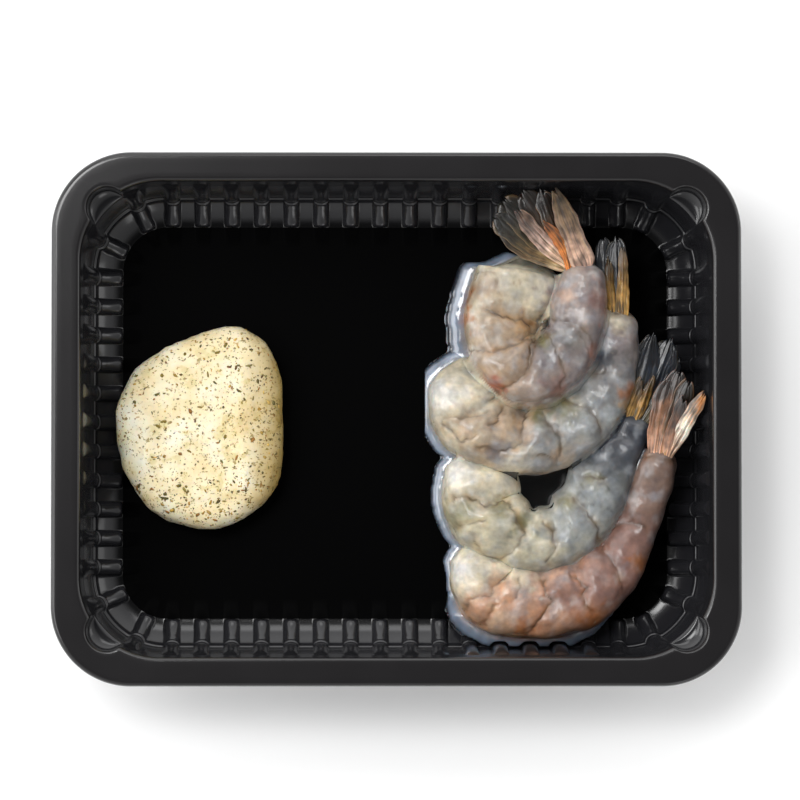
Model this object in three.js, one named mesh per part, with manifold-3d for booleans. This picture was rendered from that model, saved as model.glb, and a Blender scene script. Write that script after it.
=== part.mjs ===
// A black thermoformed food tray with four raw king prawns, peeled but with their tails left on,
// and a pat of garlic and herb butter. Millimetres, +Z up. The origin is the middle of the
// underside. +X runs along the tray towards the prawns and +Y across it, away from the viewer.

import * as THREE from "three";
import { mergeVertices } from "three/addons/utils/BufferGeometryUtils.js";
import Module from "manifold-3d";

const wasm = await Module();
wasm.setup();

// The tray's outside, and the sheet it is drawn from.
const TRAY_LENGTH = 190;
const TRAY_WIDTH = 147;
const TRAY_HEIGHT = 38;
const SHEET = 0.7;

// Insets from the outer edge, heights and corner radii that shape the wall, from the floor up.
const FLOOR_INSET = 17.3;
const FLOOR_CORNER = 14;
const TOE_RUN = 1.5;
const TOE_RISE = 0.8;
const LEDGE_INSET = 11;
const LEDGE_HEIGHT = 6;
const LEDGE_WIDTH = 0.8;
const LEDGE_RISE = 0.3;
const LEDGE_CORNER = 20;
const RIB_TOP_INSET = 8.5;
const RIB_TOP_CORNER = 21.6;
const FLANGE_INSET = 7.2;
const FLANGE_RADIUS = 0.7;
const RIM_CORNER = 22;
const LIP_RUN = 1.5;
const LIP_DROP = 3.5;
const LIP_CORNER = 20.5;

// Stiffening ribs, which stand in from the wall. Two more lie in each corner.
const RIBS_ALONG = 16;
const RIBS_ACROSS = 11;
const RIB_PITCH_ALONG = 8.35;
const RIB_PITCH_ACROSS = 8.15;
const RIB_HALF_WIDTH = 2.2;
const RIB_DEPTH = 1.6;
const RIB_TOP = 30.5;
const CORNER_RIB_ANGLES = [24.5, 65.5];
const CORNER_POINTS = 9; // four for each of a corner's two ribs, and one between them

// The round pocket in each corner of the rim, where stacked trays part from each other.
const POCKET_INSET = 15.4;
const POCKET_RADIUS = 5.5;
const POCKET_TAPER = 0.5;
const POCKET_DEPTH = 10;
const POCKET_STEPS = 24;

// Meshes that touch keep this much air between them.
const GAP = 0.35;

// The pat of butter: its outline in plan, its thickness, and how it curves at its edges.
const BUTTER_OUTLINE = [
  [-46.5, 26.8], [-37.7, 23.2], [-32.8, 15.0], [-31.6, 2.0], [-32.0, -12.4], [-36.0, -21.8],
  [-44.0, -27.7], [-54.0, -30.0], [-66.0, -26.2], [-74.6, -16.8], [-78.3, -3.4],
  [-77.2, 6.8], [-71.2, 16.2], [-59.3, 23.2],
];
const BUTTER_THICKNESS = 12.5;
const BUTTER_CROWN = 0.7;
const BUTTER_EDGE = 3.6;
const BUTTER_EDGE_ANGLES = [15, 42, 68];
const BUTTER_TOP_INSET = 9;
const BUTTER_FOOT = 1.8;
const BUTTER_DENTS = 0.2;
const BUTTER_STEPS = 40;

// Each prawn runs from its cut head end to its tail. A spine point is x, y, height and half the
// depth from back to belly. A blade of the tail fan is its tip, its half width, how far along it
// is widest, and how far its root lies off the spine towards the belly, in shares of the radius.
// Prawns are listed from the top of the pile down.
const PRAWNS = [
  {
    name: "prawn_top",
    slant: 0.02,
    spine: [
      [35.5, 46.4, 13, 6.2], [34.8, 39.2, 13.5, 12.8], [30.1, 27.9, 15.5, 11.2],
      [31.3, 18.4, 18, 10.3], [37.5, 13.9, 19.5, 9.8], [43.9, 16.7, 20, 9.2],
      [49.0, 22.9, 20.2, 8.3], [51.4, 33.8, 21, 7.4], [52.2, 44.4, 22.4, 5.3],
    ],
    fan: [
      { tip: [28.3, 54.5, 25], half: 2.6, widest: 0.72, root: 0.7 },
      { tip: [29.2, 58.6, 27], half: 3.2, widest: 0.72, root: 0.6 },
      { tip: [34.1, 61.4, 28.5], half: 3.2, widest: 0.7, root: 0.5 },
      { tip: [39.9, 62.2, 29.6], half: 2.6, widest: 0.6, root: 0.3 },
      { tip: [44.5, 62.3, 31], half: 3.2, widest: 0.14, root: -0.3 },
    ],
  },
  {
    name: "prawn_right",
    slant: 0.03,
    spine: [
      [19.8, 18.1, 12, 6.7], [19.5, 8.5, 12.6, 10.4], [22.6, 0.9, 13, 11.5],
      [32.1, -4.2, 13.6, 10.7], [42.2, -4.2, 14.2, 10.1], [51.1, 0.0, 14.8, 9.3],
      [57.3, 7.0, 15.2, 8.1], [60.6, 15.7, 15.6, 7], [61.3, 23.6, 16.6, 6.5],
      [62.2, 31.5, 18.2, 4.6],
    ],
    fan: [
      { tip: [57.1, 51.0, 19.5], half: 2.6, widest: 0.6, root: 0.5 },
      { tip: [60.3, 51.5, 21.5], half: 2.9, widest: 0.6, root: 0.3 },
      { tip: [62.9, 46.7, 25], half: 2.3, widest: 0.14, root: -0.3 },
    ],
  },
  {
    name: "prawn_middle",
    slant: 0.03,
    spine: [
      [24.9, -5.5, 10.5, 6.7], [24.1, -15.1, 10.6, 10.4], [24.9, -24.6, 10.8, 11.2],
      [32.8, -31.4, 11, 10.3], [42.0, -33.0, 11.2, 9.6], [50.6, -27.8, 11.4, 9.8],
      [55.7, -19.3, 11.8, 9.8], [60.4, -11.2, 12.4, 8.1], [65.0, -4.4, 13, 5.9],
      [67.4, 2.2, 14.6, 4.5],
    ],
    fan: [
      { tip: [71.6, 23.9, 18.5], half: 3.4, widest: 0.64, root: 0.4 },
      { tip: [76.0, 21.6, 17], half: 3.1, widest: 0.6, root: -0.1 },
      { tip: [73.0, 9.4, 14.5], half: 1.8, widest: 0.4, root: -0.6 },
    ],
  },
  {
    name: "prawn_front",
    slant: 0.05,
    spine: [
      [24.9, -32.5, 10.2, 6.8], [24.3, -40.4, 10.6, 9.3], [27.2, -47.4, 11.4, 10.5],
      [33.3, -50.1, 12, 10.4], [42.8, -50.2, 12, 10.3], [52.1, -47.5, 11.6, 10.1],
      [59.4, -41.4, 11.2, 9.1], [64.8, -33.6, 11.4, 7.3], [68.9, -24.6, 12.4, 6.5],
      [71.9, -16.3, 14.4, 5.9], [75.1, -7.9, 17.4, 4.9],
    ],
    fan: [
      { tip: [76.8, 13.8, 25.5], half: 2.8, widest: 0.6, root: 0.6 },
      { tip: [81.1, 9.1, 27.5], half: 2.9, widest: 0.6, root: 0.1 },
      { tip: [85.3, 6.6, 31.5], half: 2.6, widest: 0.34, root: -0.6 },
    ],
  },
];
const HEAD_STATIONS = [0.012, 0.045, 0.1, 0.155];
const HEAD_DOME = 0.1; // how far the cut end takes to reach its full girth
const SEGMENT_ENDS = [0.2, 0.35, 0.49, 0.62, 0.75]; // where one segment of the body meets the next
const SEGMENT_SWELL = [0.26, 0.76]; // the full part of a segment, in shares of its length
const BELLY_CREASE = 0.24; // depth of a crease at the belly and the back, in shares of the radius
const BACK_CREASE = 0.07;
const FLATNESS = 0.86; // a prawn's width over its depth from back to belly
const BELLY_TAPER = 0.14;
const PRAWN_STEPS = 16;
const BLADE_THICKNESS = 1.1;
const BLADE_THINNING = 0.4;
const BLADE_SETBACK = 0.35; // how far a blade's root lies inside the tail, in shares of its radius
const BLADE_ROOT_WIDTH = 0.45; // in shares of the blade's full width
const BLADE_TIP_ROUNDING = 0.95;
const BLADE_STATIONS = [0, 0.25, 0.55, 0.8, 0.95];

const radians = THREE.MathUtils.degToRad;
const at = (x, y, z) => new THREE.Vector3(x, y, z);

// Skins a stack of rings that have the same number of points, and closes both ends with a fan.
function loft(rings) {
  const count = rings[0].length;
  const points = rings.flat();
  const faces = [];
  for (let ring = 0; ring + 1 < rings.length; ring++) {
    for (let i = 0; i < count; i++) {
      const a = ring * count + i;
      const b = ring * count + ((i + 1) % count);
      faces.push(a, b, b + count, a, b + count, a + count);
    }
  }
  for (const [ring, flip] of [[0, true], [rings.length - 1, false]]) {
    const hub = points.length;
    points.push(rings[ring].reduce((sum, p) => sum.add(p), at(0, 0, 0)).divideScalar(count));
    for (let i = 0; i < count; i++) {
      const a = ring * count + i;
      const b = ring * count + ((i + 1) % count);
      faces.push(...(flip ? [hub, b, a] : [hub, a, b]));
    }
  }
  return new THREE.BufferGeometry().setFromPoints(points).setIndex(faces);
}

// Turns a closed geometry into a solid, less the triangles that have closed up. Its faces point
// out whichever way it was wound.
function solid(geometry) {
  geometry.deleteAttribute("normal");
  geometry.deleteAttribute("uv");
  const merged = mergeVertices(geometry, 1e-4);
  const faces = [];
  for (let i = 0; i < merged.index.count; i += 3) {
    const face = [0, 1, 2].map((corner) => merged.index.array[i + corner]);
    if (new Set(face).size === 3) faces.push(...face);
  }
  const build = (triVerts) =>
    new wasm.Manifold(
      new wasm.Mesh({ numProp: 3, vertProperties: merged.attributes.position.array, triVerts }),
    );
  const made = build(new Uint32Array(faces));
  return made.volume() > 0 ? made : build(new Uint32Array(faces).reverse());
}

// The largest of the pieces that a cut leaves. Loose scraps are dropped.
const largest = (shape) =>
  shape.decompose().reduce((best, piece) => (piece.volume() > best.volume() ? piece : best));

function mesh(name, shape, material) {
  const { vertProperties, triVerts } = shape.getMesh();
  const geometry = new THREE.BufferGeometry()
    .setAttribute("position", new THREE.BufferAttribute(vertProperties, 3))
    .setIndex(new THREE.BufferAttribute(triVerts, 1));
  geometry.computeVertexNormals();
  const made = new THREE.Mesh(geometry, material);
  made.name = name;
  return made;
}

// The wall in section, from the edge of the floor to the bottom of the lip. Each level has its
// inset from the tray's outer edge, its height, the radius of its corners, and the share of their
// full depth that the ribs have there.
const WALL = [
  { inset: FLOOR_INSET, z: SHEET, corner: FLOOR_CORNER, rib: 0 },
  { inset: FLOOR_INSET - TOE_RUN, z: SHEET + TOE_RISE, corner: FLOOR_CORNER + TOE_RUN, rib: 1 },
  { inset: LEDGE_INSET, z: LEDGE_HEIGHT, corner: LEDGE_CORNER, rib: 1 },
  {
    inset: LEDGE_INSET - LEDGE_WIDTH,
    z: LEDGE_HEIGHT + LEDGE_RISE,
    corner: LEDGE_CORNER + LEDGE_WIDTH,
    rib: 1,
  },
  { inset: RIB_TOP_INSET, z: RIB_TOP, corner: RIB_TOP_CORNER, rib: 0 },
  { inset: FLANGE_INSET + FLANGE_RADIUS, z: TRAY_HEIGHT - FLANGE_RADIUS, corner: RIM_CORNER },
  { inset: FLANGE_INSET, z: TRAY_HEIGHT, corner: RIM_CORNER },
  { inset: LIP_RUN, z: TRAY_HEIGHT, corner: LIP_CORNER },
  { inset: 0, z: TRAY_HEIGHT - LIP_DROP, corner: LIP_CORNER + LIP_RUN },
];
const MOUTH = 5; // the level at which the wall turns out into the flange
const RIB_SECTION = [[-1, 0], [-0.5, 1], [0.5, 1], [1, 0]];
const CORNERS = [[1, 1], [-1, 1], [-1, -1], [1, -1]];

// One level of the wall as a ring of points, right round the tray. A level with ribs has four
// points on each of them. On a level without, the points of a straight side close up into its
// ends, and those of a corner spread out evenly.
function wallRing({ inset, z, corner, rib }, ribHalfWidth = RIB_HALF_WIDTH) {
  const points = [];
  const ribbed = rib !== undefined;
  CORNERS.forEach(([sideX, sideY], quarter) => {
    const centreX = TRAY_LENGTH / 2 - inset - corner;
    const centreY = TRAY_WIDTH / 2 - inset - corner;
    const place = (angle, along, depth) => {
      const turn = radians(90 * quarter + angle);
      points.push(
        at(
          sideX * centreX + (corner - depth) * Math.cos(turn) - along * Math.sin(turn),
          sideY * centreY + (corner - depth) * Math.sin(turn) + along * Math.cos(turn),
          z,
        ),
      );
    };
    if (ribbed) {
      const [first, second] = CORNER_RIB_ANGLES;
      const cornerRib = (angle) => {
        for (const [across, depth] of RIB_SECTION) {
          const aside = THREE.MathUtils.radToDeg((across * ribHalfWidth) / corner);
          place(angle + aside, 0, depth * rib * RIB_DEPTH);
        }
      };
      cornerRib(first);
      place(45, 0, 0);
      cornerRib(second);
    } else {
      for (let i = 0; i < CORNER_POINTS; i++) place((90 * i) / (CORNER_POINTS - 1), 0, 0);
    }
    const lengthways = quarter % 2 === 0;
    const side = 2 * (lengthways ? centreX : centreY);
    const count = lengthways ? RIBS_ALONG : RIBS_ACROSS;
    const pitch = lengthways ? RIB_PITCH_ALONG : RIB_PITCH_ACROSS;
    for (let i = 0; i < count; i++) {
      const middle = side / 2 + (i - (count - 1) / 2) * pitch;
      for (const [across, depth] of RIB_SECTION) {
        if (ribbed) place(90, middle + across * ribHalfWidth, depth * rib * RIB_DEPTH);
        else place(90, i < count / 2 ? 0 : side, 0);
      }
    }
  });
  return points;
}

// The same levels moved by a distance to the underside, or into the tray where it is negative.
function offsetWall(distance) {
  const normals = WALL.slice(1).map((level, i) =>
    new THREE.Vector2(level.z - WALL[i].z, level.inset - WALL[i].inset).normalize(),
  );
  return WALL.map((level, i) => {
    const before = normals[i - 1] ?? new THREE.Vector2(0, -1); // the floor is level
    const after = normals[i] ?? before;
    const mitre = before.clone().add(after).normalize();
    mitre.multiplyScalar(distance / Math.max(mitre.dot(after), 0.5));
    return {
      ...level,
      inset: level.inset - mitre.x,
      z: level.z + mitre.y,
      corner: level.corner + mitre.x,
    };
  });
}

// A round pocket in each corner of the rim, as the space it takes grown by a distance.
function cornerPockets(grown, top) {
  const bottom = TRAY_HEIGHT - POCKET_DEPTH - grown;
  return CORNERS.map(([sideX, sideY]) => {
    const cylinder = new THREE.CylinderGeometry(
      POCKET_RADIUS + POCKET_TAPER / 2 + grown,
      POCKET_RADIUS - POCKET_TAPER / 2 + grown,
      top - bottom,
      POCKET_STEPS,
    );
    cylinder.rotateX(Math.PI / 2);
    cylinder.translate(
      sideX * (TRAY_LENGTH / 2 - POCKET_INSET),
      sideY * (TRAY_WIDTH / 2 - POCKET_INSET),
      (top + bottom) / 2,
    );
    return solid(cylinder);
  });
}

// The space inside the wall, up to a height. The margin is kept from the wall and from the floor,
// and a wider one where the ribs stand.
function insideTray(margin, ribs, top) {
  const levels = offsetWall(-margin).slice(0, MOUTH + 1);
  levels[MOUTH].z = top;
  return solid(
    loft(
      levels.map(({ inset, corner, z, rib }) =>
        wallRing({ inset: inset + ribs * (rib ?? 0), corner, z }),
      ),
    ),
  );
}

function makeTray() {
  const inner = WALL.map((level) => wallRing(level));
  const outer = offsetWall(SHEET).map((level) => wallRing(level, RIB_HALF_WIDTH - SHEET));
  let tray = solid(loft([...inner, ...outer.reverse()]));
  const space = insideTray(-SHEET / 2, 0, TRAY_HEIGHT + 1);
  for (const pocket of cornerPockets(SHEET, TRAY_HEIGHT - SHEET / 2)) {
    tray = tray.add(pocket.subtract(space));
  }
  for (const pocket of cornerPockets(0, TRAY_HEIGHT + 1)) tray = tray.subtract(pocket);
  return largest(tray);
}

// The pat of butter, from the underside up: a tucked-in foot, an upright side, a rounded top edge
// and a slightly domed top.
function makeButter() {
  const floor = SHEET + GAP;
  const curve = new THREE.CatmullRomCurve3(
    BUTTER_OUTLINE.map(([x, y]) => at(x, y, 0)),
    true,
    "catmullrom",
    0.5,
  );
  const outline = curve.getPoints(BUTTER_STEPS).slice(0, -1);
  const centre = outline.reduce((sum, p) => sum.add(p), at(0, 0, 0)).divideScalar(BUTTER_STEPS);
  const side = BUTTER_THICKNESS - BUTTER_EDGE - BUTTER_CROWN;
  const levels = [
    { tuck: BUTTER_FOOT, z: 0 },
    { tuck: 0.3, z: BUTTER_FOOT },
    { tuck: 0, z: side * 0.75 },
  ];
  for (const angle of BUTTER_EDGE_ANGLES) {
    levels.push({
      tuck: BUTTER_EDGE * (1 - Math.cos(radians(angle))),
      z: side + BUTTER_EDGE * Math.sin(radians(angle)),
    });
  }
  levels.push({ tuck: BUTTER_TOP_INSET, z: BUTTER_THICKNESS });
  const rings = levels.map(({ tuck, z }, level) =>
    outline.map((edge, i) => {
      const inward = centre.clone().sub(edge).normalize();
      const dent = level > 0 ? BUTTER_DENTS * Math.sin(i * 5.1 + level * 2.1) : 0;
      return edge.clone().addScaledVector(inward, tuck).setZ(floor + z + dent);
    }),
  );
  return solid(loft(rings));
}

// A smooth curve of position and half depth along a prawn.
function prawnPath({ spine }) {
  const curve = (points) => new THREE.CatmullRomCurve3(points, false, "catmullrom", 0.5);
  const line = curve(spine.map(([x, y, z]) => at(x, y, z)));
  const girth = curve(spine.map(([, , , half]) => at(half, 0, 0)));
  return (share) => {
    const along = line.getTangent(share).normalize();
    const belly = at(-along.y, along.x, 0).normalize();
    const up = along.clone().cross(belly);
    return { centre: line.getPoint(share), along, belly, up, half: girth.getPoint(share).x };
  };
}

// A prawn's body as rings of points. Where one segment meets the next, the ring draws in, deepest
// at the belly. The rings lean a little, as the segments overlap like tiles.
function makeBody(prawn, grown) {
  const path = prawnPath(prawn);
  const stations = HEAD_STATIONS.map((share) => ({ share, crease: 0 }));
  SEGMENT_ENDS.forEach((end, i) => {
    const gap = (SEGMENT_ENDS[i + 1] ?? 1) - end;
    stations.push({ share: end, crease: 1 });
    for (const swell of SEGMENT_SWELL) stations.push({ share: end + gap * swell, crease: 0 });
  });
  stations.push({ share: 1, crease: 0 });
  const rings = stations.map(({ share, crease }) => {
    const dome = Math.sqrt(Math.min(1, (share + HEAD_STATIONS[0]) / HEAD_DOME));
    const points = [];
    for (let i = 0; i < PRAWN_STEPS; i++) {
      const angle = (2 * Math.PI * i) / PRAWN_STEPS;
      const lean = 4 * share * (1 - share) * prawn.slant * Math.cos(angle);
      const { centre, belly, up, half } = path(share + lean);
      const toBelly = (1 + Math.cos(angle)) / 2;
      const creaseDepth = crease * THREE.MathUtils.lerp(BACK_CREASE, BELLY_CREASE, toBelly);
      const radius = half * dome * (1 - creaseDepth);
      const depth = radius + grown;
      const width = radius * FLATNESS * (1 - BELLY_TAPER * Math.cos(angle)) + grown;
      points.push(
        centre
          .clone()
          .addScaledVector(belly, depth * Math.cos(angle))
          .addScaledVector(up, width * Math.sin(angle)),
      );
    }
    return points;
  });
  return solid(loft(rings));
}

// One blade of the tail fan: a thin leaf from inside the last ring of the tail out to its tip.
function makeBlade({ centre, along, belly, half }, blade, grown) {
  const root = centre
    .clone()
    .addScaledVector(along, -BLADE_SETBACK * half)
    .addScaledVector(belly, blade.root * half);
  const end = at(...blade.tip);
  const lengthways = end.clone().sub(root).normalize();
  const across = at(0, 0, 1).cross(lengthways).normalize();
  const up = lengthways.clone().cross(across);
  const rings = BLADE_STATIONS.map((share) => {
    const rise = Math.min(1, share / blade.widest);
    const fall = share > blade.widest ? (share - blade.widest) / (1 - blade.widest) : 0;
    const spread = THREE.MathUtils.lerp(BLADE_ROOT_WIDTH, 1, Math.sin((rise * Math.PI) / 2));
    const width = blade.half * spread * Math.sqrt(1 - BLADE_TIP_ROUNDING * fall ** 2) + grown;
    const thick = (BLADE_THICKNESS / 2) * (1 - BLADE_THINNING * share) + grown;
    const middle = root.clone().lerp(end, share);
    return [[1, 0], [0.5, 1], [-0.5, 1], [-1, 0], [-0.5, -1], [0.5, -1]].map(([a, b]) =>
      middle
        .clone()
        .addScaledVector(across, a * width)
        .addScaledVector(up, b * thick),
    );
  });
  return solid(loft(rings));
}

function makePrawn(prawn, grown = 0) {
  const tail = prawnPath(prawn)(1);
  return prawn.fan.reduce(
    (shape, blade) => shape.add(makeBlade(tail, blade, grown)),
    makeBody(prawn, grown),
  );
}

const black = new THREE.MeshStandardMaterial({ color: 0x232325, roughness: 0.4, metalness: 0 });
const butter = new THREE.MeshStandardMaterial({ color: 0xe9dcae, roughness: 0.45, metalness: 0 });
const flesh = new THREE.MeshStandardMaterial({ color: 0xcdc3b4, roughness: 0.25, metalness: 0 });

const freeSpace = insideTray(GAP, RIB_DEPTH, TRAY_HEIGHT);
const dish = new THREE.Group();
dish.add(mesh("tray", makeTray(), black));
dish.add(mesh("garlic_butter", makeButter().intersect(freeSpace), butter));

// Each prawn keeps its shape where it lies on one further down the pile, which gives way to it.
PRAWNS.forEach((prawn, order) => {
  let shape = makePrawn(prawn).intersect(freeSpace);
  for (const above of PRAWNS.slice(0, order)) shape = shape.subtract(makePrawn(above, GAP));
  dish.add(mesh(prawn.name, largest(shape), flesh));
});

export default dish;
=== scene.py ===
# %% [markdown]
# # Raw prawns and garlic butter in a black tray
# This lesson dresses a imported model. The solids of the tray, the pat of butter and the four
# prawns come in as a fixed frame, in metres. Each of them then gets a finished piece of its own,
# made in the same place and to the same sizes, with the detail that a plain solid leaves out.

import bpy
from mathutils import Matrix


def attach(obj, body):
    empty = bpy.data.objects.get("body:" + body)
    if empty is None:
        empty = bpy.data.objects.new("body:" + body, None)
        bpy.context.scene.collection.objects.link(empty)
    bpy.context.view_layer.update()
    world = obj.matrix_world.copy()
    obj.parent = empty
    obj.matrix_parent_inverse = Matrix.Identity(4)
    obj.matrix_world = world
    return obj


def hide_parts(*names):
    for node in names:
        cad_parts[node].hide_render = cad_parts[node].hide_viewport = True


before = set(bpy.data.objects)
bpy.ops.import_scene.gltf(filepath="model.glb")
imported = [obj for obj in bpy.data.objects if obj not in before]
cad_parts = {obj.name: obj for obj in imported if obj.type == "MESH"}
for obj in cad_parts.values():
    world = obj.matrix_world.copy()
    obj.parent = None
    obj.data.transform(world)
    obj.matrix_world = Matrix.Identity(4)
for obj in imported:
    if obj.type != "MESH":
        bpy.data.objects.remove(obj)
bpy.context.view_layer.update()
print("solids:", ", ".join(sorted(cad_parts)))

# %% Modules
import math
import random

import bmesh
import bpy
import numpy as np
from mathutils import Matrix, Vector, noise
from mathutils.bvhtree import BVHTree

MM = 0.001
DOWN = Vector((0, 0, -1))
chance = random.Random(7)


# %% Add an object
def add_object(name, data):
    """Puts an object into the scene."""
    thing = bpy.data.objects.new(name, data)
    bpy.context.scene.collection.objects.link(thing)
    return thing


def add_mesh(name, bm, *materials):
    """Puts an object with a bmesh's shape into the scene."""
    mesh = bpy.data.meshes.new(name)
    bm.to_mesh(mesh)
    bm.free()
    for material in materials:
        mesh.materials.append(material)
    return add_object(name, mesh)


# %% [markdown]
# ## The camera
# The tray was looked at from straight above with a long lens, from about 1.4 m, leaning a little
# to the front and left. Copying that first means that every later picture can be laid over the
# real one. The lens follows from how much of the rim's level the frame takes in.

# %% Camera
EYE = Vector((-18, -45, 1438))
AIM = Vector((0.9, 5.15, 38))
FRAME_WIDTH = 219.7

camera = add_object("camera", bpy.data.cameras.new("camera"))
camera.data.sensor_width = 36
camera.data.lens = 36 * (EYE.z - AIM.z) / FRAME_WIDTH
backward = (EYE - AIM).normalized()
sideways = Vector((0, 1, 0)).cross(backward).normalized()
upward = backward.cross(sideways)
camera.matrix_world = (
    Matrix.Translation(EYE * MM) @ Matrix((sideways, upward, backward)).transposed().to_4x4()
)
bpy.context.scene.camera = camera
print(f"lens {camera.data.lens:.0f} mm")

# %% [markdown]
# ## Helpers for materials
# Every finish here is a Principled shader with a few nodes in front of it. Short helpers keep the
# material cells readable. A number that is the same all over is set on the shader itself.


# %% Material helpers
def linear(red, green, blue):
    """A colour given as it looks on a screen, 0 to 255, in the linear values that shaders use."""
    steps = (np.array([red, green, blue]) / 255).clip(0, 1)
    return np.where(steps < 0.04045, steps / 12.92, ((steps + 0.055) / 1.055) ** 2.4)


def add_node(material, kind, wires=(), **settings):
    """Adds a node, sets its properties and inputs, and wires other nodes' outputs to it."""
    node = material.node_tree.nodes.new(kind)
    for name, value in settings.items():
        if hasattr(node, name):
            setattr(node, name, value)
        else:
            node.inputs[name.replace("_", " ")].default_value = value
    for name, output in dict(wires).items():
        material.node_tree.links.new(output, node.inputs[name])
    return node


def new_material(name, **settings):
    """A Principled material. Returns it with its shader."""
    material = bpy.data.materials.new(name)
    material.use_nodes = True
    shader = material.node_tree.nodes["Principled BSDF"]
    for key, value in settings.items():
        shader.inputs[key.replace("_", " ")].default_value = value
    return material, shader


def ramp(material, factor, *stops):
    """A colour ramp through (position, colour) stops."""
    node = add_node(material, "ShaderNodeValToRGB", {"Fac": factor})
    while len(node.color_ramp.elements) < len(stops):
        node.color_ramp.elements.new(0.5)
    for element, (position, colour) in zip(node.color_ramp.elements, stops):
        element.position = position
        element.color = (*colour, 1)
    return node.outputs["Color"]


def grain(material, scale, detail=3):
    """Noise on object coordinates, with its cells about 1/scale metres across."""
    place = add_node(material, "ShaderNodeTexCoord").outputs["Object"]
    texture = add_node(material, "ShaderNodeTexNoise", {"Vector": place}, Scale=scale, Detail=detail)
    return texture.outputs["Fac"]


def share_across(material, axis, low, high, shift=None):
    """How far along an axis of the object a point lies, from 0 at low to 1 at high, in metres."""
    place = add_node(material, "ShaderNodeTexCoord").outputs["Object"]
    value = add_node(material, "ShaderNodeSeparateXYZ", {"Vector": place}).outputs[axis]
    if shift is not None:
        value = add_node(material, "ShaderNodeMath", {0: value, 1: shift}, operation="ADD").outputs[0]
    wires = {"Value": value}
    return add_node(material, "ShaderNodeMapRange", wires, From_Min=low, From_Max=high).outputs[0]


def own_tint(material):
    """The colour that was painted on the piece's vertices."""
    return add_node(material, "ShaderNodeAttribute", attribute_name="tint").outputs["Color"]


def bump(material, shader, height, distance, strength=1.0):
    """Raises the surface by a pattern, the distance in millimetres."""
    wires = {"Height": height}
    node = add_node(material, "ShaderNodeBump", wires, Distance=distance * MM, Strength=strength)
    material.node_tree.links.new(node.outputs["Normal"], shader.inputs["Normal"])


def mix(material, factor, first, second, mode="MIX"):
    """Mixes two colours, each an output or a plain colour."""
    node = material.node_tree.nodes.new("ShaderNodeMix")
    node.data_type = "RGBA"
    node.blend_type = mode
    for socket, value in ((node.inputs[0], factor), (node.inputs[6], first), (node.inputs[7], second)):
        if isinstance(value, bpy.types.NodeSocket):
            material.node_tree.links.new(value, socket)
        else:
            socket.default_value = (*value, 1) if socket.type == "RGBA" else value
    return node.outputs[2]


def wire_colour(material, shader, colour, *layers):
    """Multiplies a colour by some layers, and feeds it into the shader."""
    for layer in layers:
        colour = mix(material, 1.0, colour, layer, "MULTIPLY")
    material.node_tree.links.new(colour, shader.inputs["Base Color"])


# %% [markdown]
# ## Helpers for pieces
# All shapes are worked out in millimetres, as a maker would measure them. The last step of each
# piece scales it to metres, so that its object sits unturned and unscaled at the origin.


# %% Piece helpers
def places(verts):
    """Where vertices are, as an array."""
    return np.array([v.co for v in verts])


def move_to(verts, points):
    """Moves vertices to their new places."""
    for vertex, point in zip(verts, points):
        vertex.co = point


def smoothstep(low, high, value):
    """Eases from 0 at low to 1 at high."""
    share = np.clip((np.asarray(value, float) - low) / (high - low), 0, 1)
    return share * share * (3 - 2 * share)


def bell(value, width):
    """1 at nought, and soon nothing beyond the width."""
    return np.exp(-((value / width) ** 2))


def unit(vectors):
    """The same directions, each one long."""
    return vectors / np.maximum(np.linalg.norm(vectors, axis=-1, keepdims=True), 1e-6)


def curve(points, shares, closed=False):
    """Points on a smooth curve through all the given ones."""
    points = np.asarray(points, float)
    spans = len(points) if closed else len(points) - 1
    along = np.clip(np.asarray(shares, float), 0, 1) * spans
    span = np.minimum(along.astype(int), spans - 1)
    part = (along - span)[:, None]
    if closed:
        ring = np.vstack([points[-1:], points, points[:2]])
    else:
        ring = np.vstack([2 * points[0] - points[1], points, 2 * points[-1] - points[-2]])
    before, start, end, after = (ring[span + step] for step in range(4))
    return 0.5 * (
        2 * start
        + (end - before) * part
        + (2 * before - 5 * start + 4 * end - after) * part**2
        + (3 * (start - end) + after - before) * part**3
    )


def ruffle(points, size, depth, offset=0.0):
    """A smooth random height at each point. Its swells are about this size across."""
    shift = Vector((offset, 0.3 * offset, 0))
    return np.array([noise.noise(Vector(p) / size + shift) for p in points]) * depth


def blend(colours, tint, share):
    """Moves each colour towards a tint by its own share."""
    return colours + (tint - colours) * share[:, None]


def make_piece(name, bm, materials, slot, *nodes, colours=None):
    """Turns a bmesh in millimetres into a piece that rides on the frame, tinted point by point."""
    bmesh.ops.scale(bm, vec=(MM, MM, MM), verts=bm.verts)
    piece = add_mesh(name, bm, *materials)
    mesh = piece.data
    mesh.shade_smooth()
    if colours is not None:
        layer = mesh.attributes.new("tint", "FLOAT_COLOR", "POINT")
        layer.data.foreach_set("color", np.insert(np.clip(colours, 0, 1), 3, 1, axis=1).ravel())
    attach(piece, "root")
    if nodes:
        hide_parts(*nodes)
    print(f"{name}: {len(mesh.polygons)} faces")
    return piece


# %% [markdown]
# ## The tray
# The real one is a sheet of black plastic, 0.7 mm thick, drawn down into a mould. Its wall climbs
# in two slopes with a ledge between them, and stiffening ribs stand in from it like half pipes.
# It could be cut from blocks, but a drawn sheet is one surface of even thickness. So a flat grid
# is wrapped round: one way of it runs round the tray, and the other climbs from the floor to the
# lip. The ribs and the round corner pockets move its points in or out. A Solidify modifier then
# gives the sheet its thickness, so that the ribs show from below too.

# %% Sizes of the tray
LENGTH, WIDTH, HEIGHT, SHEET = 190, 147, 38, 0.7
FLOOR = SHEET
RIB_TOP = 30.5
RIB_DEPTH = 1.6
RIB_HALF_WIDTH = 2.2
RIB_FOOT = 6.3
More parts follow.
